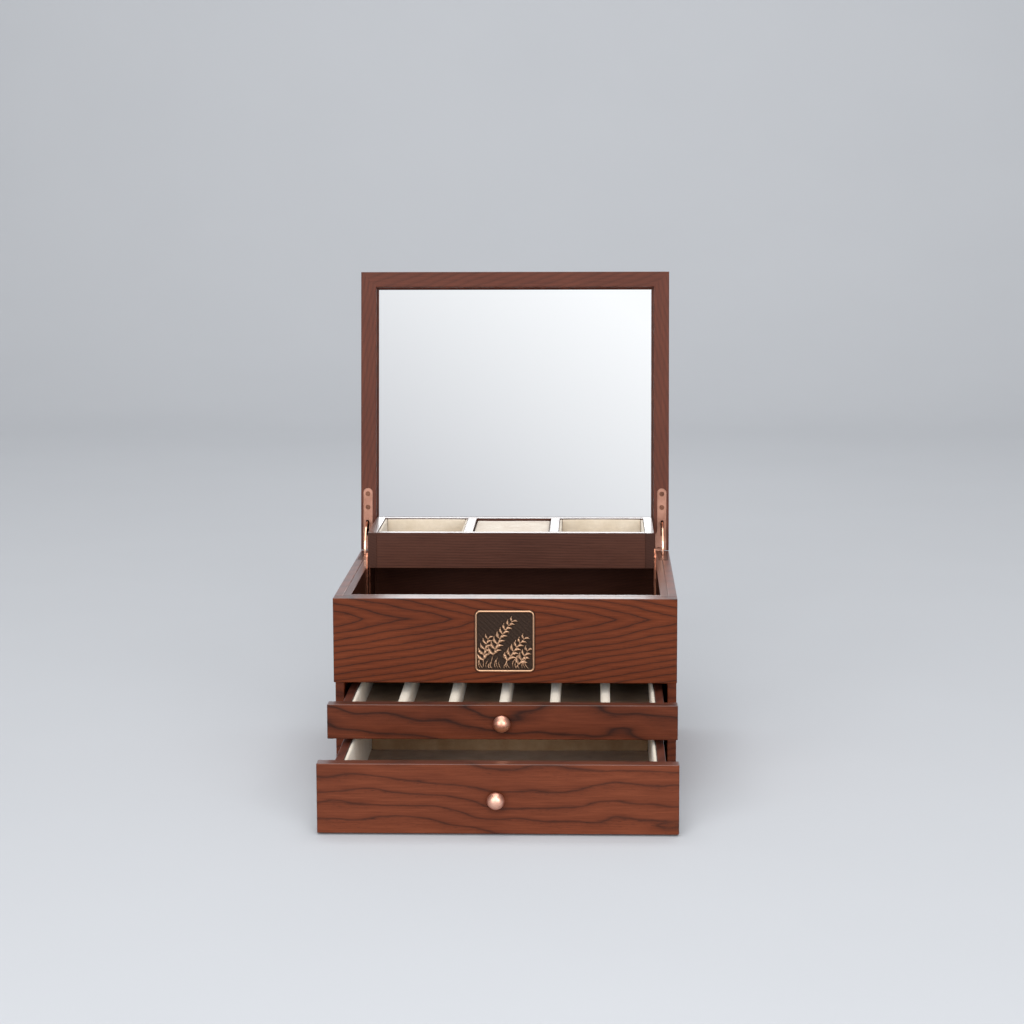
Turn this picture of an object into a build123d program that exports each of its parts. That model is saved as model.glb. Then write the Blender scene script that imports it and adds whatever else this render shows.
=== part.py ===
"""Wooden jewelry box with a mirrored lid, a lifting tray and two drawers, shown open.

Millimetres, +Z up, origin at the bottom centre of the case, the front faces -Y.
Every piece is a separate solid.  The lid is built in its own plane, which is
turned about the hinge line to the open angle.
"""
from build123d import *
import math
import os

os.makedirs("parts", exist_ok=True)

# ---------------------------------------------------------------- case
WIDTH = 280.0
DEPTH = 253.0
FOOT_T = 1.5
RIM_Z = 162.6
BOARD_T = 7.3
LINER_T = 6.2
PANEL_T = 13.0
BASE_T = 4.5
ARRIS = 0.7

PANEL_BOTTOM_Z = 92.8
UPPER_WEB_Z = (90.3, 94.3)
DRAWER_WEB_Z = (55.5, 58.5)
FLOOR_FELT_T = 1.2
FELT_INSET = 9.0

HALF_W = WIDTH / 2
FRONT_Y = -DEPTH / 2
BACK_Y = DEPTH / 2
CARCASS_FRONT_Y = FRONT_Y + PANEL_T
BOARD_IN_X = HALF_W - BOARD_T
LINER_IN_X = BOARD_IN_X - LINER_T
BACK_IN_Y = BACK_Y - BOARD_T
LINER_FRONT_Y = CARCASS_FRONT_Y + LINER_T
LINER_BACK_Y = BACK_IN_Y - LINER_T

# ---------------------------------------------------------------- lid
LID_OPEN_DEG = 97.4
LID_T = 22.0
LID_GAP = 0.4
FRAME_W = 13.8
LID_PANEL_T = 5.0
MIRROR_T = 3.0
MIRROR_RECESS = 2.5
MIRROR_BEVEL_W = 2.4
MIRROR_BEVEL_T = 1.0
BACKING_T = 3.0

# ---------------------------------------------------------------- hinges
HINGE_Z = RIM_Z + LID_GAP / 2
LEAF_T = 1.8
LEAF_X = (129.5, 137.8)
LEAF_HEEL_X = 127.7
LEAF_HEEL_L = 14.0
LEAF_LENGTH = 56.3
LEAF_LET_IN = 0.25
BARREL_R = 2.6
BARREL_X = (127.7, 130.0, 130.3, 131.8, 132.1, 133.4)
HINGE_PIN_R = 0.8
RUNNING_FIT = 0.05
SCREW_L = (39.0, 51.2)
SCREW_X = 133.65
SCREW_HEAD_R = 2.2
SCREW_SHANK_R = 1.1
SCREW_LENGTH = 9.0

# ---------------------------------------------------------------- hinge stays
STAY_X = 134.0
STAY_T = 1.2
STAY_R = 25.0
STAY_W = 2.4
STAY_TAIL_DEG = 7.0
STAY_RATIO = 0.65
SLOT_W = 2.8
SLOT_L = (13.0, 27.4)

# ---------------------------------------------------------------- tray and its lift arms
TRAY_HALF_W = 124.4
TRAY_FRONT_Y = 23.4
TRAY_BACK_Y = 120.1
TRAY_Z = (163.0, 194.1)
TRAY_WALL_T = 7.8
TRAY_BOTTOM_T = 2.6
TRAY_DIVIDER_X = 37.4
TRAY_DIVIDER_T = 7.7
TRAY_LINING_T = 2.4
TRAY_LINING_DROP = 0.8
RING_ROLL_COUNT = 7
RING_ROLL_DROP = 1.6

ARM_T = 1.2
ARM_W = 8.0
ARM_LENGTH = 56.0
ARM_X = 125.45
ARM_LEAN_DEG = 3.0
ARM_UPPER_Y = (28.5, 54.5)
ARM_UPPER_Z = TRAY_Z[0] + 9.0
ARM_PIN_R = 1.5
PIN_END_GAP = 0.3

# ---------------------------------------------------------------- drawers
FRONT_T = 12.7
FRONT_HALF_W = 139.5
UPPER_FRONT_X = -0.4
LOWER_FRONT_X = -1.4
DRAWER_OUT_X = 128.2
DRAWER_SIDE_T = 6.4
DRAWER_LENGTH = 230.0
DRAWER_BOTTOM_T = 3.0
PAD_T = 3.0
FLOOR_PAD_T = 2.0
PAD_DROP = 0.6
UPPER_FRONT_Z = (58.6, 86.5)
UPPER_BOX_Z = (58.9, 86.2)
UPPER_PULL = 55.5
DIVIDER_COUNT = 5
DIVIDER_T = 7.7
DIVIDER_TOP_DROP = 1.9
LOWER_FRONT_Z = (FOOT_T, 56.3)
LOWER_BOX_Z = (6.4, 54.8)
LOWER_PULL = 129.2
GUIDE_T = 4.0
GUIDE_H = 7.0
GUIDE_SETBACK = 24.0

KNOB_R = 6.8
KNOB_NECK_R = 3.3
KNOB_LENGTH = 11.0
UPPER_KNOB_X = -0.6
LOWER_KNOB_X = -2.6

# ---------------------------------------------------------------- plaque
PLAQUE_W = 49.0
PLAQUE_H = 51.4
PLAQUE_R = 4.5
PLAQUE_T = 2.6
PLAQUE_RIM_W = 2.3
PLAQUE_RECESS = 1.2
PLAQUE_Z = (PANEL_BOTTOM_Z + RIM_Z) / 2
LEAF_PAIRS = 4

LEAN = math.radians(LID_OPEN_DEG - 90.0)
BOX_PLANE = Plane(origin=(0, BACK_Y, HINGE_Z), x_dir=(1, 0, 0), z_dir=(0, 0, -1))
LID_PLANE = Plane(
    origin=(0, BACK_Y, HINGE_Z),
    x_dir=(-1, 0, 0),
    z_dir=(0, math.cos(LEAN), -math.sin(LEAN)),
)
SIDES = {"left": -1, "right": 1}


def save(piece, node):
    """Label a finished piece and write it as one STEP file."""
    piece.part.label = node
    export_step(piece.part, f"parts/{node}.step")


def slab(low, high, plane=Plane.XY, mode=Mode.ADD):
    """Box between two corners given in the coordinates of a plane."""
    with BuildSketch(plane.offset(low[2])) as base:
        with Locations(((low[0] + high[0]) / 2, (low[1] + high[1]) / 2)):
            Rectangle(high[0] - low[0], high[1] - low[1])
    extrude(base.sketch, amount=high[2] - low[2], mode=mode)


def side_span(side, inner, outer):
    """Low and high X of a span measured outwards from the middle."""
    edges = sorted((side * inner, side * outer))
    return edges[0], edges[1]


def leaf_plate(plane, side, grow, depth, mode):
    """Hinge leaf outline: a strap with a round end and a wider heel at the barrel."""
    radius = (LEAF_X[1] - LEAF_X[0]) / 2
    centre = side * (LEAF_X[0] + radius)
    with BuildSketch(plane.offset(LID_GAP / 2)) as outline:
        with BuildLine():
            Polyline(
                (centre - side * radius, LEAF_LENGTH - radius),
                (centre - side * radius, LEAF_HEEL_L + 3.0),
                (side * LEAF_HEEL_X, LEAF_HEEL_L),
                (side * LEAF_HEEL_X, 0.3),
                (side * LEAF_X[1], 0.3),
                (side * LEAF_X[1], LEAF_LENGTH - radius),
            )
            ThreePointArc(
                (side * LEAF_X[1], LEAF_LENGTH - radius),
                (centre, LEAF_LENGTH),
                (centre - side * radius, LEAF_LENGTH - radius),
            )
        make_face()
        if grow:
            offset(amount=grow)
    extrude(outline.sketch, amount=depth, mode=mode)


def barrel_length(side, inner, outer, radius, mode):
    """Cylinder on the hinge line between two distances from the middle."""
    low, high = side_span(side, inner, outer)
    with BuildSketch(Plane.YZ.offset(low)) as disc:
        with Locations((BACK_Y, HINGE_Z)):
            Circle(radius)
    extrude(disc.sketch, amount=high - low, mode=mode)


def stay_sector(side, thickness, inner_r, outer_r, start_deg, end_deg, mode):
    """Part of a flat ring about the hinge line; 0 degrees points to the front, 90 up."""
    reach = 2.0 * outer_r
    middle = math.radians((start_deg + end_deg) / 2)
    with BuildSketch(Plane.YZ.offset(side * STAY_X - thickness / 2)) as ring:
        with Locations((BACK_Y, HINGE_Z)):
            Circle(outer_r)
            Circle(inner_r, mode=Mode.SUBTRACT)
        with BuildLine():
            Polyline(
                (BACK_Y, HINGE_Z),
                (BACK_Y - reach * math.cos(math.radians(start_deg)),
                 HINGE_Z + reach * math.sin(math.radians(start_deg))),
                (BACK_Y - reach * math.cos(middle), HINGE_Z + reach * math.sin(middle)),
                (BACK_Y - reach * math.cos(math.radians(end_deg)),
                 HINGE_Z + reach * math.sin(math.radians(end_deg))),
                close=True,
            )
        make_face(mode=Mode.INTERSECT)
    extrude(ring.sketch, amount=thickness, mode=mode)


def cut_hinge_seat(plane, side):
    """Cut the seat of a leaf, its barrel and its screws into the piece being built."""
    local = side if plane is BOX_PLANE else -side
    leaf_plate(plane, local, LEAF_LET_IN, LEAF_T + 0.1, Mode.SUBTRACT)
    barrel_length(side, BARREL_X[0] - 0.4, BARREL_X[-1] + 0.4, BARREL_R + 0.4, Mode.SUBTRACT)
    with BuildSketch(plane) as pilots:
        with Locations(*[(local * SCREW_X, run) for run in SCREW_L]):
            Circle(SCREW_SHANK_R + RUNNING_FIT)
    extrude(pilots.sketch, amount=SCREW_LENGTH + 1.0, mode=Mode.SUBTRACT)


def ease(piece, amount=ARRIS):
    """Round every edge of the plain board just built."""
    fillet(piece.edges(), amount)


# ================================================================ case
def make_side_board(name, side):
    low_x, high_x = side_span(side, BOARD_IN_X, HALF_W)
    with BuildPart() as side_board:
        slab((low_x, CARCASS_FRONT_Y, FOOT_T), (high_x, BACK_Y, RIM_Z))
        ease(side_board)
        cut_hinge_seat(BOX_PLANE, side)
        stay_sector(side, SLOT_W, SLOT_L[0] - 0.4, SLOT_L[1] + 0.3, 0.0, -78.0, Mode.SUBTRACT)
    save(side_board, f"side_board_{name}")


def make_back_board():
    with BuildPart() as back_board:
        slab((-BOARD_IN_X, BACK_IN_Y, FOOT_T), (BOARD_IN_X, BACK_Y, RIM_Z))
        ease(back_board)
        for side in SIDES.values():
            cut_hinge_seat(BOX_PLANE, side)
    save(back_board, "back_board")


def make_flat_board(node, z_span):
    """Horizontal board between the side boards."""
    with BuildPart() as flat_board:
        slab((-BOARD_IN_X, CARCASS_FRONT_Y, z_span[0]), (BOARD_IN_X, BACK_IN_Y, z_span[1]))
    save(flat_board, node)


def make_front_panel():
    with BuildPart() as front_panel:
        slab((-HALF_W, FRONT_Y, PANEL_BOTTOM_Z), (HALF_W, CARCASS_FRONT_Y, RIM_Z))
        ease(front_panel)
    save(front_panel, "front_panel")


def make_side_liner(name, side):
    low_x, high_x = side_span(side, LINER_IN_X, BOARD_IN_X)
    with BuildPart() as side_liner:
        slab((low_x, CARCASS_FRONT_Y, UPPER_WEB_Z[1]), (high_x, BACK_IN_Y, RIM_Z))
        ease(side_liner, ARRIS / 2)
        cut_hinge_seat(BOX_PLANE, side)
        with BuildSketch(Plane.YZ.offset(side * (LINER_IN_X - 1.0))):
            with Locations(*[arm_pivot(run) for run in ARM_UPPER_Y]):
                Circle(ARM_PIN_R)
        extrude(amount=side * 3.0, mode=Mode.SUBTRACT)
    save(side_liner, f"liner_{name}")


def make_cross_liner(node, y_span):
    with BuildPart() as cross_liner:
        slab((-LINER_IN_X, y_span[0], UPPER_WEB_Z[1]), (LINER_IN_X, y_span[1], RIM_Z))
        ease(cross_liner, ARRIS / 2)
    save(cross_liner, node)


def make_compartment_felt():
    low_z = UPPER_WEB_Z[1]
    with BuildPart() as compartment_felt:
        slab((-LINER_IN_X, LINER_FRONT_Y, low_z), (LINER_IN_X, LINER_BACK_Y, low_z + FLOOR_FELT_T))
    save(compartment_felt, "compartment_felt")


def make_base_felt():
    """Felt sheet under the case, which the box rests on."""
    with BuildPart() as base_felt:
        with BuildSketch(Plane.XY):
            RectangleRounded(WIDTH - 2 * FELT_INSET, DEPTH - 2 * PANEL_T - FELT_INSET, 3.0)
        extrude(amount=FOOT_T)
    save(base_felt, "base_felt")


def make_drawer_guides():
    """Four wooden strips, a pair for each drawer, that keep the drawers on their line."""
    with BuildPart() as drawer_guides:
        for side in SIDES.values():
            low_x, high_x = side_span(side, BOARD_IN_X - GUIDE_T, BOARD_IN_X)
            for floor_z in (FOOT_T + BASE_T, DRAWER_WEB_Z[1]):
                slab(
                    (low_x, CARCASS_FRONT_Y + GUIDE_SETBACK, floor_z),
                    (high_x, BACK_IN_Y, floor_z + GUIDE_H),
                )
    save(drawer_guides, "drawer_guides")


# ================================================================ plaque
def make_plaque():
    """Cast plate with a raised rim and a plain leafy sprig in the sunk field."""
    face = Plane(origin=(0, FRONT_Y, PLAQUE_Z), x_dir=(1, 0, 0), z_dir=(0, -1, 0))
    field = face.offset(PLAQUE_T - PLAQUE_RECESS)
    with BuildPart() as plaque:
        with BuildSketch(face):
            RectangleRounded(PLAQUE_W, PLAQUE_H, PLAQUE_R)
        extrude(amount=PLAQUE_T)
        with BuildSketch(field):
            RectangleRounded(
                PLAQUE_W - 2 * PLAQUE_RIM_W, PLAQUE_H - 2 * PLAQUE_RIM_W, PLAQUE_R - PLAQUE_RIM_W + 0.6
            )
        extrude(amount=PLAQUE_RECESS, mode=Mode.SUBTRACT)
        with BuildSketch(field):
            Rectangle(1.2, PLAQUE_H * 0.66)
            for pair in range(LEAF_PAIRS):
                for side in SIDES.values():
                    height = -10.0 + 7.0 * pair
                    with Locations(Location((side * 5.6, height, 0), (0, 0, side * 38.0))):
                        Ellipse(5.6, 2.0)
            with Locations((0, PLAQUE_H * 0.33)):
                Ellipse(2.1, 4.6)
        extrude(amount=PLAQUE_RECESS * 0.7)
    save(plaque, "plaque")


# ================================================================ hinges
def make_leaf(node, plane, side, own, other):
    """One hinge leaf with its barrel lengths, stay slot and countersunk holes."""
    local = side if plane is BOX_PLANE else -side
    with BuildPart() as leaf:
        leaf_plate(plane, local, 0.0, LEAF_T, Mode.ADD)
        for first in other:
            barrel_length(side, BARREL_X[first] - 0.3, BARREL_X[first + 1] + 0.3,
                          BARREL_R + 0.35, Mode.SUBTRACT)
        for first in own:
            barrel_length(side, BARREL_X[first], BARREL_X[first + 1], BARREL_R, Mode.ADD)
        barrel_length(side, BARREL_X[0] - 1.0, BARREL_X[-1] + 1.0,
                      HINGE_PIN_R + RUNNING_FIT, Mode.SUBTRACT)
        with BuildSketch(plane):
            with Locations((local * STAY_X, (SLOT_L[0] + SLOT_L[1]) / 2)):
                SlotOverall(SLOT_L[1] - SLOT_L[0], SLOT_W, rotation=90)
        extrude(amount=LEAF_T + 1.0, mode=Mode.SUBTRACT)
        for run in SCREW_L:
            screw_cone(plane, local, run, RUNNING_FIT, Mode.SUBTRACT)
            with BuildSketch(plane):
                with Locations((local * SCREW_X, run)):
                    Circle(SCREW_SHANK_R + RUNNING_FIT)
            extrude(amount=LEAF_T + 1.0, mode=Mode.SUBTRACT)
    save(leaf, node)


def screw_cone(plane, local, run, grow, mode):
    """Countersunk head: a cone that narrows to the shank through the leaf."""
    with BuildSketch(plane.offset(LID_GAP / 2)) as wide:
        with Locations((local * SCREW_X, run)):
            Circle(SCREW_HEAD_R + grow)
    with BuildSketch(plane.offset(LID_GAP / 2 + LEAF_T * 0.8)) as narrow:
        with Locations((local * SCREW_X, run)):
            Circle(SCREW_SHANK_R + grow)
    loft([wide.sketch, narrow.sketch], mode=mode)


def make_leaf_screws(node, plane):
    with BuildPart() as leaf_screws:
        for side in SIDES.values():
            for run in SCREW_L:
                screw_cone(plane, side, run, 0.0, Mode.ADD)
                with BuildSketch(plane.offset(LID_GAP / 2 + LEAF_T * 0.7)):
                    with Locations((side * SCREW_X, run)):
                        Circle(SCREW_SHANK_R)
                extrude(amount=SCREW_LENGTH - LEAF_T)
                with BuildSketch(plane.offset(LID_GAP / 2)):
                    with Locations((side * SCREW_X, run)):
                        Rectangle(2 * SCREW_HEAD_R - 0.6, 0.5, rotation=35)
                extrude(amount=0.5, mode=Mode.SUBTRACT)
    save(leaf_screws, node)


def make_hinge_pins():
    with BuildPart() as hinge_pins:
        for side in SIDES.values():
            barrel_length(side, BARREL_X[0], BARREL_X[-1], HINGE_PIN_R, Mode.ADD)
    save(hinge_pins, "hinge_pins")


def make_stay(name, side):
    """Quadrant stay that slides through both leaves and stops the lid past upright."""
    with BuildPart() as stay:
        stay_sector(
            side, STAY_T, STAY_R - STAY_W / 2, STAY_R + STAY_W / 2,
            -STAY_TAIL_DEG, LID_OPEN_DEG + STAY_TAIL_DEG, Mode.ADD,
        )
    save(stay, f"hinge_stay_{name}")


# ================================================================ lid
def lid_slab_z():
    """Inner and outer faces of the lid, measured from the hinge line."""
    return LID_GAP / 2, LID_GAP / 2 + LID_T


def make_lid_bar(node, outline, run, sides, with_stay_pocket):
    """One mitred member of the lid frame, its long edges eased, seated for its hinge leaves."""
    inner_z, outer_z = lid_slab_z()
    with BuildPart() as lid_bar:
        with BuildSketch(LID_PLANE.offset(inner_z)):
            with BuildLine():
                Polyline(*outline, close=True)
            make_face()
        extrude(amount=outer_z - inner_z)
        fillet(lid_bar.edges().filter_by(run), ARRIS)
        for side in sides:
            cut_hinge_seat(LID_PLANE, side)
            if with_stay_pocket:
                stay_sector(side, SLOT_W, SLOT_L[0] - 0.4, SLOT_L[1] + 0.3,
                            LID_OPEN_DEG, LID_OPEN_DEG + 44.0, Mode.SUBTRACT)
    save(lid_bar, node)


def make_lid_frame():
    for name, side in SIDES.items():
        outer = -side * HALF_W
        inner = -side * (HALF_W - FRAME_W)
        outline = ((outer, 0), (outer, DEPTH), (inner, DEPTH - FRAME_W), (inner, FRAME_W))
        make_lid_bar(f"lid_stile_{name}", outline, Axis(LID_PLANE.origin, LID_PLANE.y_dir), [side], True)
    inner = HALF_W - FRAME_W
    rear = ((-HALF_W, 0), (HALF_W, 0), (inner, FRAME_W), (-inner, FRAME_W))
    make_lid_bar("lid_rail_rear", rear, Axis.X, [-1, 1], False)
    front = ((-HALF_W, DEPTH), (HALF_W, DEPTH), (inner, DEPTH - FRAME_W), (-inner, DEPTH - FRAME_W))
    make_lid_bar("lid_rail_front", front, Axis.X, [], False)


def lid_infill(z_low, z_high):
    """Slab that fills the lid frame between two depths."""
    half = HALF_W - FRAME_W
    slab((-half, FRAME_W, z_low), (half, DEPTH - FRAME_W, z_high), LID_PLANE)


def make_lid_panel():
    outer_z = lid_slab_z()[1]
    with BuildPart() as lid_panel:
        lid_infill(outer_z - LID_PANEL_T - 0.8, outer_z - 0.8)
        ease(lid_panel, ARRIS / 2)
    save(lid_panel, "lid_panel")


def bevel_rim(face):
    """Wide shallow bevel ground round the edge of the mirror face."""
    chamfer(face.edges(), MIRROR_BEVEL_W, MIRROR_BEVEL_T, reference=face)


def make_mirror():
    face_z = lid_slab_z()[0] + MIRROR_RECESS
    with BuildPart() as mirror:
        lid_infill(face_z, face_z + MIRROR_T)
        face = mirror.faces().sort_by(Axis(LID_PLANE.origin, LID_PLANE.z_dir))[0]
        bevel_rim(face)
    save(mirror, "mirror")


def make_mirror_backing():
    face_z = lid_slab_z()[0] + MIRROR_RECESS + MIRROR_T
    with BuildPart() as mirror_backing:
        lid_infill(face_z, face_z + BACKING_T)
    save(mirror_backing, "mirror_backing")


# ================================================================ tray
def arm_pivot(upper_y):
    """Y and Z of the lower pivot of the arm whose upper pivot is at upper_y."""
    lean = math.radians(ARM_LEAN_DEG)
    return upper_y - ARM_LENGTH * math.sin(lean), ARM_UPPER_Z - ARM_LENGTH * math.cos(lean)


def make_arm(node, side, upper_y):
    low_y, low_z = arm_pivot(upper_y)
    middle = ((upper_y + low_y) / 2, (ARM_UPPER_Z + low_z) / 2)
    with BuildPart() as arm:
        with BuildSketch(Plane.YZ.offset(side * ARM_X - ARM_T / 2)):
            with Locations(middle):
                SlotCenterToCenter(ARM_LENGTH, ARM_W, rotation=90.0 - ARM_LEAN_DEG)
            with Locations((upper_y, ARM_UPPER_Z), (low_y, low_z)):
                Circle(ARM_PIN_R + RUNNING_FIT, mode=Mode.SUBTRACT)
        extrude(amount=ARM_T)
    save(arm, node)


def make_arm_pins(node, centres, inner_x, outer_x):
    """Four pivot pins, two at each end of the tray."""
    with BuildPart() as arm_pins:
        for side in SIDES.values():
            low_x, high_x = side_span(side, inner_x, outer_x)
            with BuildSketch(Plane.YZ.offset(low_x)):
                with Locations(*centres):
                    Circle(ARM_PIN_R)
            extrude(amount=high_x - low_x)
    save(arm_pins, node)


def make_tray_end(name, side):
    low_x, high_x = side_span(side, TRAY_HALF_W - TRAY_WALL_T, TRAY_HALF_W)
    with BuildPart() as tray_end:
        slab((low_x, TRAY_FRONT_Y, TRAY_Z[0]), (high_x, TRAY_BACK_Y, TRAY_Z[1]))
        ease(tray_end, ARRIS / 2)
        with BuildSketch(Plane.YZ.offset(side * (TRAY_HALF_W + 1.0))):
            with Locations(*[(run, ARM_UPPER_Z) for run in ARM_UPPER_Y]):
                Circle(ARM_PIN_R)
        extrude(amount=-side * 3.0, mode=Mode.SUBTRACT)
    save(tray_end, f"tray_end_{name}")


def make_tray_wall(node, y_span):
    inner_x = TRAY_HALF_W - TRAY_WALL_T
    with BuildPart() as tray_wall:
        slab((-inner_x, y_span[0], TRAY_Z[0]), (inner_x, y_span[1], TRAY_Z[1]))
        ease(tray_wall, ARRIS / 2)
    save(tray_wall, node)


def tray_inside_y():
    return TRAY_FRONT_Y + TRAY_WALL_T, TRAY_BACK_Y - TRAY_WALL_T


def make_tray_bottom():
    inner_x = TRAY_HALF_W - TRAY_WALL_T
    y_span = tray_inside_y()
    with BuildPart() as tray_bottom:
        slab((-inner_x, y_span[0], TRAY_Z[0]), (inner_x, y_span[1], TRAY_Z[0] + TRAY_BOTTOM_T))
    save(tray_bottom, "tray_bottom")


def make_tray_dividers():
    """Two wooden dividers that part the tray into three wells."""
    y_span = tray_inside_y()
    with BuildPart() as tray_dividers:
        for side in SIDES.values():
            low_x = side * TRAY_DIVIDER_X - TRAY_DIVIDER_T / 2
            slab(
                (low_x, y_span[0], TRAY_Z[0] + TRAY_BOTTOM_T),
                (low_x + TRAY_DIVIDER_T, y_span[1], TRAY_Z[1]),
            )
        ease(tray_dividers, ARRIS / 2)
    save(tray_dividers, "tray_dividers")


def lining_boards(x_span, y_span, z_span, wall_t, floor_t):
    """Padded cards that line a well: a floor, two sides, then two ends between them."""
    slab((x_span[0], y_span[0], z_span[0]), (x_span[1], y_span[1], z_span[0] + floor_t))
    low_z = z_span[0] + floor_t
    slab((x_span[0], y_span[0], low_z), (x_span[0] + wall_t, y_span[1], z_span[1]))
    slab((x_span[1] - wall_t, y_span[0], low_z), (x_span[1], y_span[1], z_span[1]))
    slab((x_span[0] + wall_t, y_span[0], low_z), (x_span[1] - wall_t, y_span[0] + wall_t, z_span[1]))
    slab((x_span[0] + wall_t, y_span[1] - wall_t, low_z), (x_span[1] - wall_t, y_span[1], z_span[1]))


def make_tray_linings():
    """Linings of the two outer wells of the tray."""
    z_span = (TRAY_Z[0] + TRAY_BOTTOM_T, TRAY_Z[1] - TRAY_LINING_DROP)
    with BuildPart() as tray_linings:
        for side in SIDES.values():
            x_span = side_span(side, TRAY_DIVIDER_X + TRAY_DIVIDER_T / 2, TRAY_HALF_W - TRAY_WALL_T)
            lining_boards(x_span, tray_inside_y(), z_span, TRAY_LINING_T, TRAY_LINING_T)
    save(tray_linings, "tray_linings")


def make_ring_cushion():
    """Padded block of round-topped rolls that grips ring bands between them."""
    half = TRAY_DIVIDER_X - TRAY_DIVIDER_T / 2
    y_low, y_high = tray_inside_y()
    pitch = (y_high - y_low) / RING_ROLL_COUNT
    radius = pitch / 2
    base_z = TRAY_Z[0] + TRAY_BOTTOM_T
    top_z = TRAY_Z[1] - RING_ROLL_DROP
    with BuildPart() as ring_cushion:
        with BuildSketch(Plane.YZ.offset(-half)):
            with Locations(((y_low + y_high) / 2, (base_z + top_z - radius) / 2)):
                Rectangle(y_high - y_low, top_z - radius - base_z)
            with Locations(*[(y_low + pitch * (roll + 0.5), top_z - radius)
                             for roll in range(RING_ROLL_COUNT)]):
                Circle(radius)
        extrude(amount=2 * half)
    save(ring_cushion, "ring_cushion")


# ================================================================ drawers
def make_drawer(name, front_z, box_z, pull, front_x, knob_x):
    """Front, box and linings of one drawer, pulled out by the given distance."""
    front_y = FRONT_Y - pull
    box_y = (front_y + FRONT_T, front_y + FRONT_T + DRAWER_LENGTH)
    inner_x = DRAWER_OUT_X - DRAWER_SIDE_T
    with BuildPart() as drawer_front:
        slab(
            (front_x - FRONT_HALF_W, front_y, front_z[0]),
            (front_x + FRONT_HALF_W, box_y[0], front_z[1]),
        )
        ease(drawer_front)
        with BuildSketch(Plane.XZ.offset(-front_y)):
            with Locations((knob_x, sum(front_z) / 2)):
                Circle(KNOB_NECK_R * 0.6)
        extrude(amount=-FRONT_T * 0.7, mode=Mode.SUBTRACT)
    save(drawer_front, f"{name}_drawer_front")
    for label, side in SIDES.items():
        low_x, high_x = side_span(side, inner_x, DRAWER_OUT_X)
        with BuildPart() as drawer_side:
            slab((low_x, box_y[0], box_z[0]), (high_x, box_y[1], box_z[1]))
            ease(drawer_side, ARRIS / 2)
        save(drawer_side, f"{name}_drawer_side_{label}")
    with BuildPart() as drawer_back:
        slab((-inner_x, box_y[1] - DRAWER_SIDE_T, box_z[0]), (inner_x, box_y[1], box_z[1]))
        ease(drawer_back, ARRIS / 2)
    save(drawer_back, f"{name}_drawer_back")
    inside_y = (box_y[0], box_y[1] - DRAWER_SIDE_T)
    with BuildPart() as drawer_bottom:
        slab((-inner_x, inside_y[0], box_z[0]), (inner_x, inside_y[1], box_z[0] + DRAWER_BOTTOM_T))
    save(drawer_bottom, f"{name}_drawer_bottom")
    lining_z = (box_z[0] + DRAWER_BOTTOM_T, box_z[1] - PAD_DROP)
    with BuildPart() as drawer_lining:
        lining_boards((-inner_x, inner_x), inside_y, lining_z, PAD_T, FLOOR_PAD_T)
    save(drawer_lining, f"{name}_drawer_lining")
    make_knob(f"{name}_knob", knob_x, front_y, sum(front_z) / 2)


def make_knob(node, x, front_y, z):
    """Turned knob: a neck, a flared head with a soft edge and a domed face."""
    with BuildPart() as knob:
        with BuildSketch(Plane.XY):
            with BuildLine():
                Line((0, -FRONT_T * 0.5), (KNOB_NECK_R * 0.6, -FRONT_T * 0.5))
                Line((KNOB_NECK_R * 0.6, -FRONT_T * 0.5), (KNOB_NECK_R * 0.6, 0))
                Line((KNOB_NECK_R * 0.6, 0), (KNOB_NECK_R + 0.8, 0))
                Line((KNOB_NECK_R + 0.8, 0), (KNOB_NECK_R + 0.8, 0.8))
                Spline((KNOB_NECK_R + 0.8, 0.8), (KNOB_NECK_R, 2.2), (KNOB_R - 0.9, 4.6), (KNOB_R, 6.2))
                Spline((KNOB_R, 6.2), (KNOB_R - 0.5, 8.2), (KNOB_R - 3.0, 10.2), (0, KNOB_LENGTH),
                       tangents=((0, 1), (-1, 0)))
                Line((0, KNOB_LENGTH), (0, -FRONT_T * 0.5))
            make_face()
        revolve(axis=Axis.Y)
    knob.part = Location((x, front_y, z)) * Rotation(0, 0, 180) * knob.part
    save(knob, node)


def make_drawer_dividers():
    """Five padded dividers that part the upper drawer into six narrow wells."""
    inner_x = DRAWER_OUT_X - DRAWER_SIDE_T - PAD_T
    pitch = (2 * inner_x + DIVIDER_T) / (DIVIDER_COUNT + 1)
    front_y = FRONT_Y - UPPER_PULL + FRONT_T + PAD_T
    back_y = FRONT_Y - UPPER_PULL + FRONT_T + DRAWER_LENGTH - DRAWER_SIDE_T - PAD_T
    floor_z = UPPER_BOX_Z[0] + DRAWER_BOTTOM_T + FLOOR_PAD_T
    with BuildPart() as drawer_dividers:
        for place in range(DIVIDER_COUNT):
            centre = (place - (DIVIDER_COUNT - 1) / 2) * pitch
            slab(
                (centre - DIVIDER_T / 2, front_y, floor_z),
                (centre + DIVIDER_T / 2, back_y, UPPER_BOX_Z[1] - DIVIDER_TOP_DROP),
            )
    save(drawer_dividers, "upper_drawer_dividers")


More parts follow.
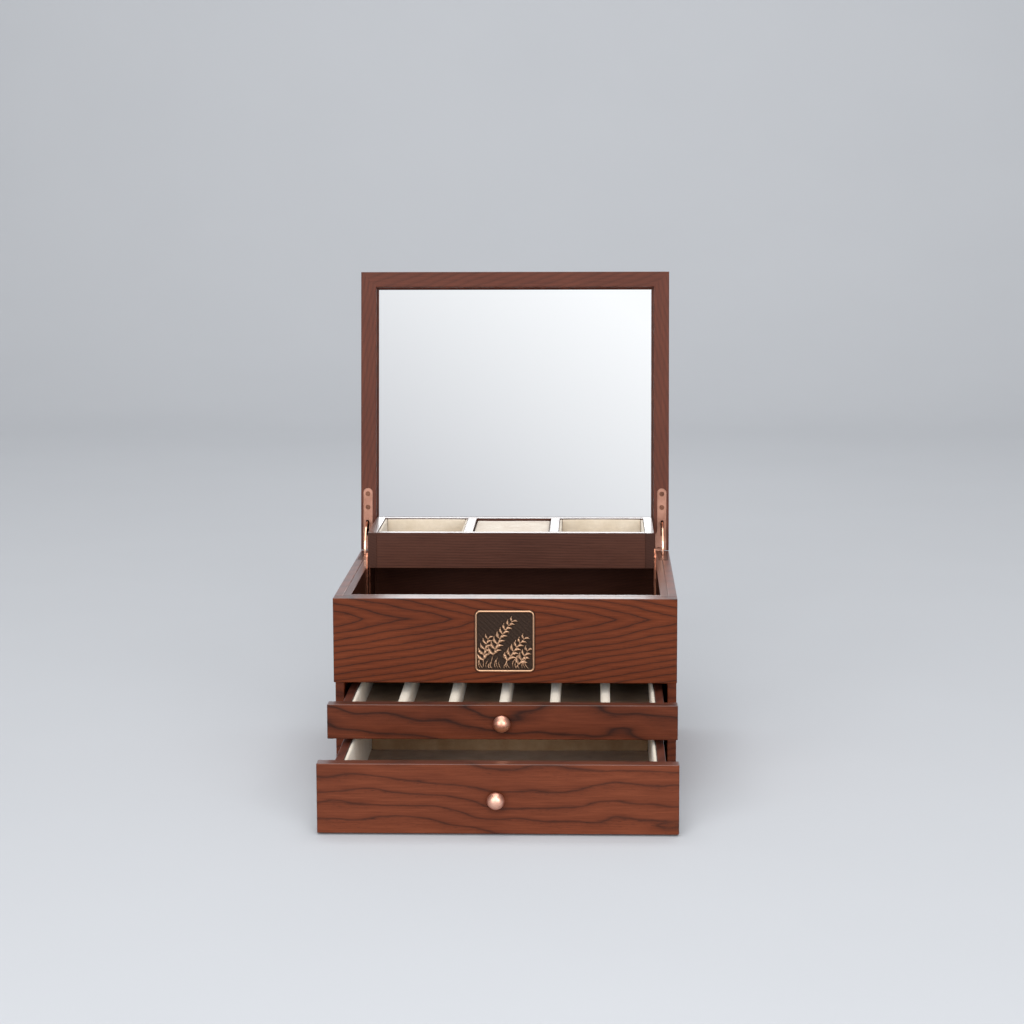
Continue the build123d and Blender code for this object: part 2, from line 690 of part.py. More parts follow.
def main():
    for name, side in SIDES.items():
        make_side_board(name, side)
        make_side_liner(name, side)
        make_leaf(f"lid_hinge_leaf_{name}", LID_PLANE, side, (0, 4), (2,))
        make_leaf(f"box_hinge_leaf_{name}", BOX_PLANE, side, (2,), (0, 4))
        make_stay(name, side)
        make_tray_end(name, side)
        make_arm(f"front_arm_{name}", side, ARM_UPPER_Y[0])
        make_arm(f"rear_arm_{name}", side, ARM_UPPER_Y[1])
    make_back_board()
    make_flat_board("base_board", (FOOT_T, FOOT_T + BASE_T))
    make_flat_board("drawer_web", DRAWER_WEB_Z)
    make_flat_board("compartment_floor", UPPER_WEB_Z)
    make_front_panel()
    make_cross_liner("liner_front", (CARCASS_FRONT_Y, LINER_FRONT_Y))
    make_cross_liner("liner_back", (LINER_BACK_Y, BACK_IN_Y))
    make_compartment_felt()
    make_base_felt()
    make_drawer_guides()
    make_plaque()
    make_leaf_screws("lid_leaf_screws", LID_PLANE)
    make_leaf_screws("box_leaf_screws", BOX_PLANE)
    make_hinge_pins()
    make_lid_frame()
    make_lid_panel()
    make_mirror()
    make_mirror_backing()
    lower_pivots = [arm_pivot(run) for run in ARM_UPPER_Y]
    make_arm_pins("case_arm_pins", lower_pivots, TRAY_HALF_W + PIN_END_GAP, LINER_IN_X + 2.0)
    upper_pivots = [(run, ARM_UPPER_Z) for run in ARM_UPPER_Y]
    make_arm_pins("tray_arm_pins", upper_pivots, TRAY_HALF_W - 2.0, LINER_IN_X - PIN_END_GAP)
    make_tray_wall("tray_front", (TRAY_FRONT_Y, TRAY_FRONT_Y + TRAY_WALL_T))
    make_tray_wall("tray_back", (TRAY_BACK_Y - TRAY_WALL_T, TRAY_BACK_Y))
    make_tray_bottom()
    make_tray_dividers()
    make_tray_linings()
    make_ring_cushion()
    make_drawer("upper", UPPER_FRONT_Z, UPPER_BOX_Z, UPPER_PULL, UPPER_FRONT_X, UPPER_KNOB_X)
    make_drawer("lower", LOWER_FRONT_Z, LOWER_BOX_Z, LOWER_PULL, LOWER_FRONT_X, LOWER_KNOB_X)
    make_drawer_dividers()


main()
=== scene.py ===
"""Looks of the open wooden jewelry box: stained ash, cream velvet, copper and a mirrored lid.

Everything is in metres in the row frame, +Z up, drawers towards -Y.  The boards, hinges
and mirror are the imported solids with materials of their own.  The velvet pads, the ring
rolls, the knobs and the cast plaque are surfaces worked out here from the same boxes.
"""

import math

import bmesh
import bpy
import numpy as np
from mathutils import Matrix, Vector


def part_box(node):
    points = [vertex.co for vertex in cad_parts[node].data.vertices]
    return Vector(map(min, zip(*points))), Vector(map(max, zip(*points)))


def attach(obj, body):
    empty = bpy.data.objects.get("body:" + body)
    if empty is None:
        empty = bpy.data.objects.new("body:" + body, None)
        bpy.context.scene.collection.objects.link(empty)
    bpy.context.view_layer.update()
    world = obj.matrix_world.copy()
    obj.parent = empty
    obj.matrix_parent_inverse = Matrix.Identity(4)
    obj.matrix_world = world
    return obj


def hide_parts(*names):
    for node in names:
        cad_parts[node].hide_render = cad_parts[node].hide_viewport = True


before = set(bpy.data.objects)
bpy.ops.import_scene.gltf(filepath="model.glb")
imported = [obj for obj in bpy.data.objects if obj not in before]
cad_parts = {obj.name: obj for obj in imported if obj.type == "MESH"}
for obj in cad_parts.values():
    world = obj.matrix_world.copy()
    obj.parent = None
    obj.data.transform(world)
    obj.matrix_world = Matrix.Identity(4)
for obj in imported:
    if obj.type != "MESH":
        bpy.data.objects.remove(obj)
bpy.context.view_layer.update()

MM = 0.001
LID_LEAN = math.radians(7.4)


# ---------------------------------------------------------------- meshes
def node_box(node):
    """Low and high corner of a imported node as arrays."""
    low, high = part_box(node)
    return np.array(low), np.array(high)


def build_piece(name, parts, body, material, replaced=(), weld=1e-6):
    """Joins (points, quads) grids into one closed smooth mesh that rides on a body."""
    points, faces, count = [], [], 0
    for part_points, part_faces in parts:
        points.append(part_points)
        faces.append(part_faces + count)
        count += len(part_points)
    mesh = bpy.data.meshes.new(name)
    mesh.from_pydata(np.concatenate(points).tolist(), [], np.concatenate(faces).tolist())
    shell = bmesh.new()
    shell.from_mesh(mesh)
    bmesh.ops.remove_doubles(shell, verts=shell.verts, dist=weld)
    bmesh.ops.dissolve_degenerate(shell, edges=shell.edges, dist=weld / 2)
    bmesh.ops.recalc_face_normals(shell, faces=shell.faces)
    shell.to_mesh(mesh)
    shell.free()
    mesh.shade_smooth()
    mesh.materials.append(material)
    piece = bpy.data.objects.new(name, mesh)
    bpy.context.scene.collection.objects.link(piece)
    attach(piece, body)
    if replaced:
        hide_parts(*replaced)
    return piece


def grid_quads(rows, columns, wrap=False):
    """Quads of a rows by columns grid of points; wrap joins the last column to the first."""
    index = np.arange(rows * columns).reshape(rows, columns)
    if wrap:
        index = np.concatenate([index, index[:, :1]], axis=1)
    corners = (index[:-1, :-1], index[1:, :-1], index[1:, 1:], index[:-1, 1:])
    return np.stack(corners, axis=-1).reshape(-1, 4)


def eased_steps(length, radius, spacing):
    """Positions from 0 to length, close together within the rounding at either end."""
    turn = radius * (1 - np.cos(np.linspace(0, math.pi / 2, 6)))
    middle = np.linspace(radius, length - radius, max(3, int(length / spacing)))
    return np.concatenate([turn[:-1], middle, length - turn[:-1][::-1]])


def padded_card(low, high, radii, crown=0.0, ripple=0.0, spacing=3.2 * MM):
    """Six grids of a padded card.  Each point of the box is carried to inner + radii * n,
    where inner is the point held inside the box by the radii and n is the unit of
    (point - inner) / radii; the faces then swell by crown * (1 - s^2)(1 - t^2), and
    ripple adds a sum of slow sines, as cloth glued over wadding has."""
    low, high = np.asarray(low, float), np.asarray(high, float)
    radii = np.minimum(np.asarray(radii, float), (high - low) * 0.49)
    grids = []
    for axis in range(3):
        u, v = [other for other in range(3) if other != axis]
        steps_u = eased_steps(high[u] - low[u], radii[u], spacing)
        steps_v = eased_steps(high[v] - low[v], radii[v], spacing)
        for end in (low[axis], high[axis]):
            points = np.zeros((len(steps_u), len(steps_v), 3))
            points[..., axis] = end
            points[..., u] = low[u] + steps_u[:, None]
            points[..., v] = low[v] + steps_v[None, :]
            points = points.reshape(-1, 3)
            inner = np.clip(points, low + radii, high - radii)
            turn = (points - inner) / radii
            normal = turn / np.linalg.norm(turn, axis=1, keepdims=True)
            placed = inner + radii * normal
            share = (2 * points - low - high) / (high - low)
            bulge = np.clip(1 - share**2, 0, 1)
            swell = crown * np.abs(normal[:, axis]) * bulge[:, u] * bulge[:, v]
            wave = np.sin(points[:, u] / (9 * MM) + 1.7 * np.sin(points[:, v] / (17 * MM)))
            wave += 0.6 * np.sin(points[:, v] / (6 * MM) + points[:, u] / (13 * MM))
            swell += ripple * wave * np.sqrt(bulge[:, u] * bulge[:, v])
            grids.append((placed + normal * swell[:, None], grid_quads(len(steps_u), len(steps_v))))
    return grids


def turned(profile, centre, segments=96):
    """Grid of a turned shape: the profile of (radius, distance) pairs is carried round an
    axis through centre that points to -Y."""
    radius, along = np.array(profile).T
    angle = np.linspace(0, 2 * math.pi, segments, endpoint=False)
    points = np.zeros((len(radius), segments, 3))
    points[..., 0] = centre[0] + radius[:, None] * np.cos(angle)
    points[..., 1] = centre[1] - along[:, None]
    points[..., 2] = centre[2] + radius[:, None] * np.sin(angle)
    return points.reshape(-1, 3), grid_quads(len(radius), segments, wrap=True)


# ---------------------------------------------------------------- material graphs
def colour(red, green, blue):
    """Linear colour from display values of 0 to 255."""
    value = np.array([red, green, blue]) / 255
    linear = np.where(value <= 0.04045, value / 12.92, ((value + 0.055) / 1.055) ** 2.4)
    return (*linear.tolist(), 1.0)


class Finish:
    """A material with one principled shader, and short calls that add nodes to it."""

    def __init__(self, name, **sockets):
        self.material = bpy.data.materials.new(name)
        self.material.use_nodes = True
        self.nodes = self.material.node_tree.nodes
        self.links = self.material.node_tree.links
        self.shader = self.nodes["Principled BSDF"]
        for socket, value in sockets.items():
            self.shader.inputs[socket.replace("_", " ")].default_value = value

    def add(self, kind, inputs, **settings):
        """Adds a node, sets it up and links or sets its inputs."""
        node = self.nodes.new("ShaderNode" + kind)
        for key, value in settings.items():
            setattr(node, key, value)
        for key, value in inputs.items():
            if isinstance(value, bpy.types.NodeSocket):
                self.links.new(value, node.inputs[key])
            else:
                node.inputs[key].default_value = value
        return node

    def place(self, scale, turn=(0, 0, 0), move=(0, 0, 0)):
        """Object coordinates, turned, moved and scaled."""
        source = self.add("TexCoord", {}).outputs["Object"]
        straight = self.add("Mapping", {"Vector": source, "Rotation": turn, "Location": move})
        return self.add("Mapping", {"Vector": straight.outputs[0], "Scale": scale}).outputs[0]

    def stretch(self, vector, lengths):
        """A vector divided by one length on each axis."""
        scale = tuple(1 / length for length in lengths)
        return self.add("Mapping", {"Vector": vector, "Scale": scale}).outputs[0]

    def sums(self, operation, first, second=0.0, third=0.0):
        """A Math node of one operation."""
        return self.add("Math", {0: first, 1: second, 2: third}, operation=operation).outputs[0]

    def noise(self, vector, detail=3.0, rough=0.55, twist=0.0):
        """Noise with one lump to a unit of the vector."""
        inputs = {"Vector": vector, "Scale": 1.0, "Detail": detail}
        inputs |= {"Roughness": rough, "Distortion": twist}
        return self.add("TexNoise", inputs).outputs["Fac"]

    def ramp(self, value, stops):
        """Colour ramp through (position, colour) stops."""
        node = self.add("ValToRGB", {"Fac": value})
        band = node.color_ramp
        while len(band.elements) < len(stops):
            band.elements.new(0.5)
        for element, (position, shade) in zip(band.elements, stops):
            element.position = position
            element.color = shade
        return node.outputs["Color"]

    def spread(self, value, low, high, to_low=0.0, to_high=1.0):
        """Carries low..high to to_low..to_high and holds the value between them."""
        inputs = {"Value": value, "From Min": low, "From Max": high}
        inputs |= {"To Min": to_low, "To Max": to_high}
        return self.add("MapRange", inputs).outputs["Result"]

    def blend(self, share, first, second, kind="MIX"):
        """The first colour mixed with the second by a share."""
        node = self.add("Mix", {0: share}, data_type="RGBA", blend_type=kind)
        for place, value in ((6, first), (7, second)):
            if isinstance(value, bpy.types.NodeSocket):
                self.links.new(value, node.inputs[place])
            else:
                node.inputs[place].default_value = value
        return node.outputs[2]

    def shaded(self, tone, value, darker, lighter, share=1.0):
        """A tone multiplied by a ramp; darker and lighter are (position, colour) stops."""
        return self.blend(share, tone, self.ramp(value, [darker, lighter]), "MULTIPLY")

    def finish(self, base=None, rough=None, height=None, strength=0.3, depth=0.1 * MM):
        """Links the colour, roughness and bump height to the shader."""
        if base is not None:
            self.links.new(base, self.shader.inputs["Base Color"])
        if rough is not None:
            self.links.new(rough, self.shader.inputs["Roughness"])
        if height is not None:
            bump = self.add("Bump", {"Height": height, "Strength": strength, "Distance": depth})
            self.links.new(bump.outputs[0], self.shader.inputs["Normal"])
        return self.material


# Turns that bring the grain of a board to the first axis.
ALONG_X = (0.0, 0.0, 0.0)
ALONG_Y = (0.0, 0.0, math.pi / 2)
ALONG_Z = (LID_LEAN, math.pi / 2, 0.0)
GRAIN_AXIS = {ALONG_X: 0, ALONG_Y: 1, ALONG_Z: 2}

# Light, middle and dark tones of the stained boards.
ASH_TONES = (colour(120, 59, 34), colour(105, 49, 27), colour(62, 28, 18))
PANEL_TONES = (colour(96, 44, 21), colour(84, 37, 16), colour(38, 18, 11))
UPPER_TONES = (colour(88, 42, 24), colour(76, 35, 19), colour(36, 18, 12))
LOWER_TONES = (colour(103, 52, 32), colour(92, 45, 27), colour(50, 26, 18))


def stained_ash(name, along=ALONG_X, apex=(0.0, 0.0), drift=1.0, arch=0.58, power=1.5, wander=16.0,
                waver=2.5, ring=22.0, through=0.4, tones=ASH_TONES, band=1.0, line=0.13, top=None,
                polish=1.0):
    """Flat-sawn ash.  With a along the grain and b across it, in millimetres from the apex,
    the growth value is drift * a + arch * |b| ^ power, pushed about by a slow noise of
    wander and a quick one of waver; its fraction of ring picks the tone.  Thin streaks and
    open pores run along the grain and crowd into the dark band, which is line of a ring
    wide.  Upward faces, which hands and cloths have polished, carry a clear coat and may
    have a tone of their own; cut ends, which drink more stain, are darker."""
    wood = Finish(name, Specular_IOR_Level=0.12, Coat_Roughness=0.3, Coat_IOR=1.6)
    normal = wood.add("TexCoord", {}).outputs["Normal"]
    facing = wood.add("SeparateXYZ", {"Vector": normal}).outputs
    upward = wood.spread(facing[2], 0.35, 0.8)
    wood.links.new(wood.sums("MULTIPLY", upward, polish), wood.shader.inputs["Coat Weight"])
    endwise = wood.sums("ABSOLUTE", facing[GRAIN_AXIS[along]])
    cut_end = wood.spread(endwise, 0.6, 0.95, 0.0, 0.45)

    spot = wood.place((1000, 1000, 1000), along, (-apex[0], 0, -apex[1]))
    length, depth, across = wood.add("SeparateXYZ", {"Vector": spot}).outputs
    slow = wood.noise(wood.stretch(spot, (95, 40, 34)), detail=1.5)
    quick = wood.noise(wood.stretch(spot, (26, 8, 6)), detail=2.0)
    streak = wood.noise(wood.stretch(spot, (30, 0.9, 0.9)), detail=4.0, rough=0.65)
    pore = wood.noise(wood.stretch(spot, (5, 0.42, 0.42)), detail=2.0)
    cloud = wood.noise(wood.stretch(spot, (110, 45, 45)), detail=2.0)

    arched = wood.sums("POWER", wood.sums("ABSOLUTE", across), power)
    growth = wood.sums("MULTIPLY_ADD", length, drift, wood.sums("MULTIPLY", arched, arch))
    growth = wood.sums("MULTIPLY_ADD", depth, through, growth)
    growth = wood.sums("MULTIPLY_ADD", slow, wander * 2, growth)
    growth = wood.sums("MULTIPLY_ADD", quick, waver * 2, growth)
    year = wood.sums("FRACT", wood.sums("DIVIDE", growth, ring))

    light, mid, dark = tones
    half = tuple(0.5 * (m + d) for m, d in zip(mid, dark))
    spring = [(0.0, half), (0.08, mid), (0.4, light)]
    autumn = [(0.87 - line, mid), (0.93 - line / 2, half), (0.95, dark), (1.0, half)]
    tone = wood.blend(band, mid, wood.ramp(year, spring + autumn))
    if top:
        tone = wood.blend(upward, tone, top)
    tone = wood.shaded(tone, streak, (0.3, (0.80, 0.78, 0.78, 1)), (0.7, (1.16, 1.18, 1.18, 1)))
    tone = wood.shaded(tone, cloud, (0.3, (0.88, 0.86, 0.86, 1)), (0.7, (1.1, 1.1, 1.1, 1)))
    crowd = wood.sums("MULTIPLY", wood.spread(year, 0.45, 0.93, 0.18, 1.0), 0.75)
    pits = wood.sums("MULTIPLY", wood.spread(pore, 0.56, 0.70), crowd)
    tone = wood.blend(pits, tone, dark)
    tone = wood.blend(cut_end, tone, dark)
    shine = wood.spread(streak, 0.3, 0.7, 0.31, 0.43)
    height = wood.sums("MULTIPLY_ADD", pits, -1.0, wood.sums("MULTIPLY", streak, 0.5))
    return wood.finish(tone, shine, height, 0.22, 0.12 * MM)


def velvet(name, pale, deep, sheen=0.35):
    """Short pile: two close tones in soft patches, brushed streaks, a fine nap and a sheen."""
    cloth = Finish(name, Roughness=0.92, Specular_IOR_Level=0.15, Sheen_Weight=sheen,
                   Sheen_Roughness=0.45)
    patch = cloth.noise(cloth.place((60, 60, 60)), detail=3.0)
    nap = cloth.noise(cloth.place((2600, 2600, 2600)), detail=2.0)
    brushed = cloth.noise(cloth.place((260, 900, 260)), detail=3.0)
    tone = cloth.blend(cloth.spread(patch, 0.3, 0.7), deep, pale)
    tone = cloth.shaded(tone, nap, (0.25, (0.86, 0.85, 0.84, 1)), (0.75, (1.05, 1.05, 1.05, 1)))
    tone = cloth.shaded(tone, brushed, (0.3, (0.9, 0.89, 0.87, 1)), (0.7, (1.04, 1.04, 1.04, 1)), 0.5)
    return cloth.finish(tone, None, cloth.sums("MULTIPLY_ADD", brushed, 0.4, nap), 0.35, 0.15 * MM)


def copper_plate(name, bright, deep, rough=0.26, brushed=(300, 300, 300)):
    """Copper plate: faint tarnish clouds, hairline scratches along one way."""
    metal = Finish(name, Metallic=1.0)
    cloud = metal.noise(metal.place((90, 90, 90)), detail=4.0)
    hair = metal.noise(metal.place(brushed), detail=4.0, rough=0.7)
    tone = metal.blend(metal.spread(cloud, 0.35, 0.7), deep, bright)
    shine = metal.spread(metal.sums("MULTIPLY_ADD", cloud, 0.5, hair), 0.5, 1.0, rough - 0.08, rough + 0.12)
    return metal.finish(tone, shine, hair, 0.12, 0.03 * MM)


def antique_bronze(name, face_y):
    """Cast plate: dark patina in the hollows, rubbed bright by height above the board."""
    metal = Finish(name, Metallic=1.0)
    depth = metal.add("SeparateXYZ", {"Vector": metal.place((1, 1, 1))}).outputs[1]
    grain = metal.noise(metal.place((900, 900, 900)), detail=4.0)
    raised = metal.spread(depth, face_y - 1.55 * MM, face_y - 2.25 * MM)
    rubbed = metal.sums("ADD", raised, metal.spread(grain, 0.35, 0.75, -0.25, 0.22))
    stops = [(0.02, colour(54, 43, 37)), (0.3, colour(98, 75, 59)), (0.8, colour(178, 141, 113))]
    shine = metal.spread(raised, 0.0, 1.0, 0.62, 0.3)
    return metal.finish(metal.ramp(rubbed, stops), shine, grain, 0.4, 0.12 * MM)


def silvered_glass(name):
    """Mirror: a bright coat with the faintest long ripple in its polish."""
    glass = Finish(name, Metallic=1.0, Base_Color=(0.93, 0.94, 0.95, 1.0))
    film = glass.noise(glass.place((7, 7, 7)), detail=1.0)
    return glass.finish(None, glass.spread(film, 0.0, 1.0, 0.012, 0.03))


def dark_felt(name, pale, deep):
    """Pressed felt: short crossed fibres over a dark ground."""
    felt = Finish(name, Roughness=0.95, Specular_IOR_Level=0.1, Sheen_Weight=0.1)
    fibre = felt.noise(felt.place((1500, 1500, 1500)), detail=3.0, twist=1.5)
    tone = felt.blend(felt.spread(fibre, 0.3, 0.7), deep, pale)
    return felt.finish(tone, None, fibre, 0.4, 0.2 * MM)


def paint(material, *nodes):
    """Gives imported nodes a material."""
    for node in nodes:
        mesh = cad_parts[node].data
        mesh.materials.clear()
        mesh.materials.append(material)


# ---------------------------------------------------------------- boards
def paint_case():
    panel_high = node_box("front_panel")[1]
    apex = (0.0, panel_high[2] - 17 * MM)
    paint(stained_ash("panel_ash", apex=apex, arch=3.1, power=1.15, ring=33.0, wander=24.0, waver=6.0,
                      band=0.9, line=0.04, tones=PANEL_TONES, polish=0.8), "front_panel")
    for node, height in (("side_board_left", 0.08), ("side_board_right", 0.1075)):
        paint(stained_ash(node + "_ash", ALONG_Y, apex=(0.03, height), arch=1.7, power=1.22, wander=26.0,
                          waver=4.0, ring=30.0, band=0.85, line=0.06), node)
    paint(stained_ash("back_ash", apex=(0.05, 0.09), arch=1.7, power=1.22, wander=24.0, waver=4.0,
                      ring=30.0, band=0.9, line=0.07), "back_board")
    plain = stained_ash("carcass_ash", apex=(0.1, 0.0), ring=18.0, band=0.6)
    paint(plain, "base_board", "drawer_web", "drawer_guides")
    tones = (colour(76, 40, 27), colour(66, 34, 23), colour(36, 19, 14))
    liners = (("left", ALONG_Y), ("right", ALONG_Y), ("front", ALONG_X), ("back", ALONG_X))
    for side, along in liners:
        paint(stained_ash(f"liner_{side}_wood", along, ring=14.0, band=0.7, tones=tones,
                          top=PANEL_TONES[1]), "liner_" + side)
    paint(stained_ash("floor_wood", ring=18.0, band=0.5, tones=tones), "compartment_floor")


def paint_lid():
    frame_ash = {"drift": 0.4, "arch": 0.9, "power": 1.1, "wander": 6.0, "waver": 1.6, "ring": 7.0}
    frame_ash["tones"] = (colour(90, 46, 33), colour(83, 42, 29), colour(60, 30, 22))
    frame_ash |= {"band": 0.45, "polish": 0.35}
    for node, shift in (("lid_stile_left", 0.2), ("lid_stile_right", 0.5)):
        paint(stained_ash(node + "_ash", ALONG_Z, through=shift, **frame_ash), node)
    for node, height in (("lid_rail_front", 0.42), ("lid_rail_rear", 0.16)):
        paint(stained_ash(node + "_ash", apex=(0.03, height), **frame_ash), node)
    paint(stained_ash("lid_panel_ash", apex=(0.02, 0.30), arch=1.6, power=1.22, ring=34.0, wander=26.0,
                      waver=4.0, band=0.9, line=0.07), "lid_panel")
    paint(stained_ash("backing_wood", ring=30.0, band=0.4), "mirror_backing")
    paint(silvered_glass("silvered_glass"), "mirror")


def paint_tray():
    straight = {"drift": 0.01, "arch": 1.0, "power": 1.0, "wander": 2.0, "waver": 0.8, "ring": 2.4}
    straight["tones"] = (colour(82, 49, 37), colour(72, 42, 32), colour(42, 25, 20))
    straight["band"] = 0.42
    long_wood = stained_ash("tray_wood_long", apex=(0.0, 0.1), polish=0.32, **straight)
    paint(long_wood, "tray_front", "tray_back")
    paint(stained_ash("tray_wood_cross", ALONG_Y, polish=0.32, **straight), "tray_dividers")
    paint(stained_ash("tray_end_wood", ALONG_Y, **straight), "tray_end_left", "tray_end_right")
    paint(stained_ash("tray_floor_wood", **straight), "tray_bottom")


def paint_drawers():
    low = node_box("upper_drawer_front")[0]
    paint(stained_ash("upper_front_ash", apex=(-0.03, low[2] - 12 * MM), drift=0.10, arch=1.0, power=1.0,
                      wander=30.0, waver=2.2, ring=15.0, band=0.9, line=0.1, tones=UPPER_TONES),
          "upper_drawer_front")
    low = node_box("lower_drawer_front")[0]
    paint(stained_ash("lower_front_ash", apex=(0.02, low[2] - 30 * MM), drift=0.06, arch=1.0, power=1.0,
                      wander=18.0, waver=2.4, ring=12.5, band=0.8, line=0.05, tones=LOWER_TONES),
          "lower_drawer_front")
    inner = {"drift": 0.2, "arch": 1.0, "power": 1.0, "wander": 6.0, "ring": 8.0, "band": 0.7}
    inner["tones"] = (colour(100, 53, 38), colour(86, 44, 32), colour(46, 24, 18))
    for body in ("upper_drawer", "lower_drawer"):
        for side in ("left", "right"):
            node = f"{body}_side_{side}"
            paint(stained_ash(node + "_wood", ALONG_Y, **inner), node)
        paint(stained_ash(body + "_back_wood", **inner), body + "_back", body + "_bottom")


def paint_fittings():
    across_hairs = (900, 900, 120)
    plate = copper_plate("hinge_copper", colour(140, 104, 90), colour(116, 82, 69), 0.38, across_hairs)
    # screws are a darker copper than the plates: painted shade standing in for the shading of their
    # countersunk sides
    screw = copper_plate("screw_copper_painted_shade", colour(104, 70, 56), colour(64, 42, 34), 0.3)
    pin = copper_plate("pin_copper", colour(214, 160, 132), colour(150, 100, 80), 0.24)
    stay = copper_plate("stay_copper", colour(246, 200, 172), colour(220, 160, 132), 0.18)
    arm = copper_plate("arm_copper", colour(206, 142, 114), colour(160, 98, 76), 0.28, across_hairs)
    for side in ("left", "right"):
        paint(plate, "box_hinge_leaf_" + side, "lid_hinge_leaf_" + side)
        paint(stay, "hinge_stay_" + side)
        paint(arm, "front_arm_" + side, "rear_arm_" + side)
    paint(screw, "box_leaf_screws", "lid_leaf_screws")
    paint(pin, "hinge_pins", "case_arm_pins", "tray_arm_pins")
    paint(dark_felt("compartment_felt", colour(44, 28, 22), colour(24, 14, 11)), "compartment_felt")
    paint(dark_felt("base_felt", colour(60, 42, 36), colour(34, 22, 19)), "base_felt")


# ---------------------------------------------------------------- velvet
CREAM = velvet("cream_velvet", colour(237, 228, 211), colour(224, 212, 192))
WELL_CREAM = velvet("well_velvet", colour(214, 203, 187), colour(202, 189, 170), 0.25)
ROLL_CREAM = velvet("ring_velvet", colour(213, 205, 193), colour(201, 189, 176), 0.3)
# darker tan pile for the drawer floors and rear cards: painted shade for the deep back of the drawers,
# whose real lining is cream
SHADED_TAN_PILE = velvet("tan_velvet_painted_shade", colour(198, 166, 132), colour(176, 142, 108), 0.2)
CARD_INSET = 0.12 * MM


def line_wells(node, wells, body, wall, floor, radius, wall_pile, floor_pile, shade_dark_rear=False):
    """Cards round the walls and on the floor of lined wells.  In the drawers the floor and the rear card
    are of a darker tan pile: painted shade for the deep back of the drawers, whose lining is cream."""
    walls, floors = [], []
    for low, high in wells:
        inset = np.array([CARD_INSET] * 3)
        base = low[2] + floor
        spans = [
            ((low[0], low[1], base), (low[0] + wall, high[1], high[2])),
            ((high[0] - wall, low[1], base), (high[0], high[1], high[2])),
            ((low[0] + wall, low[1], base), (high[0] - wall, low[1] + wall, high[2])),
            ((low[0] + wall, high[1] - wall, base), (high[0] - wall, high[1], high[2])),
        ]
        for place, (first, last) in enumerate(spans):
            first, last = np.array(first) + inset, np.array(last) - inset
            card = padded_card(first, last, [radius] * 3, 0.25 * MM, 0.035 * MM)
            # in the drawers the rear card takes the darker floor pile: painted shade
            if shade_dark_rear and place == 3:
                floors += card
            else:
                walls += card
        first, last = low + inset, np.array([high[0], high[1], base]) - inset
        radii = (radius, radius, floor * 0.45)
        floors += padded_card(first, last, radii, 0.3 * MM, 0.05 * MM, 5 * MM)
    walls = build_piece(node + "_walls", walls, body, wall_pile, [node])
    floors = build_piece(node + "_floor", floors, body, floor_pile, [node])


def build_tray_velvet():
    """Two lined outer wells, and seven rolls of wadding in the middle one."""
    low, high = node_box("tray_linings")
    divider_low, divider_high = node_box("tray_dividers")
    wells = []
    for outer, inner in ((low[0], divider_low[0]), (divider_high[0], high[0])):
        wells.append((np.array([outer, low[1], low[2]]), np.array([inner, high[1], high[2]])))
    line_wells("tray_linings", wells, "tray", 2.4 * MM, 2.4 * MM, 0.9 * MM, WELL_CREAM, WELL_CREAM)
    low, high = node_box("ring_cushion")
    rolls = 7
    pitch = (high[1] - low[1]) / rolls
    block_high = (high[0] - 0.1 * MM, high[1] - 0.1 * MM, low[2] + 14 * MM)
    grids = padded_card(low + 0.1 * MM, block_high, [1 * MM] * 3)
    for roll in range(rolls):
        first = (low[0] + 0.2 * MM, low[1] + roll * pitch + 0.12 * MM, low[2] + 9 * MM)
        last = (high[0] - 0.2 * MM, low[1] + (roll + 1) * pitch - 0.12 * MM, high[2])
        radii = (1.6 * MM, pitch * 0.48, pitch * 0.48)
        grids += padded_card(first, last, radii, 0.0, 0.06 * MM, 1.8 * MM)
    ring_rolls = build_piece("ring_rolls", grids, "tray", ROLL_CREAM, ["ring_cushion"])


def build_drawer_velvet():
    for body in ("upper_drawer", "lower_drawer"):
        node = body + "_lining"
        # drawer floors and rear cards get the darker tan pile: painted shade
        line_wells(node, [node_box(node)], body, 3 * MM, 2 * MM, 1.3 * MM, CREAM, SHADED_TAN_PILE, True)
    low, high = node_box("upper_drawer_dividers")
    thick = 7.7 * MM
    pitch = (high[0] - low[0] - thick) / 4
    grids = []
    for place in range(5):
        first = np.array([low[0] + place * pitch, low[1], low[2]]) + CARD_INSET
        last = np.array([low[0] + place * pitch + thick, high[1], high[2]]) - CARD_INSET
        grids += padded_card(first, last, [2.6 * MM, 1.5 * MM, 2.2 * MM], 0.2 * MM, 0.05 * MM, 2.6 * MM)
    dividers = build_piece("padded_dividers", grids, "upper_drawer", CREAM,
                           ["upper_drawer_dividers"])


# ---------------------------------------------------------------- knobs
def build_knobs():
    """Turned knobs: a collar, a waist, a flare to the widest ring, then a full dome."""
    copper = copper_plate("knob_copper", colour(232, 184, 163), colour(212, 152, 130), 0.42)
    waist = np.linspace(0, 1, 26)
    dome = np.linspace(0, math.pi / 2, 34)
    for name in ("upper", "lower"):
        node = name + "_knob"
        low, high = node_box(node)
        face_y = node_box(name + "_drawer_front")[0][1]
        centre = ((low[0] + high[0]) / 2, face_y, (low[2] + high[2]) / 2)
        widest = (high[0] - low[0]) / 2
        reach = face_y - low[1]
        collar = [(0, -0.4), (4.0, -0.4), (4.2, 0.3), (4.0, 0.9), (3.6, 1.1)]
        profile = [(r * MM, a * MM) for r, a in collar]
        neck, start, ring = 3.1 * MM, 1.3 * MM, 5.9 * MM
        flare = neck + (widest - neck) * waist**1.8
        profile += list(zip(flare, start + (ring - start) * waist))
        profile += list(zip(widest * np.cos(dome[1:]), ring + (reach - ring) * np.sin(dome[1:])))
        turning = turned(profile, centre)
        build_piece(node + "_turned", [turning], name + "_drawer", copper, [node])


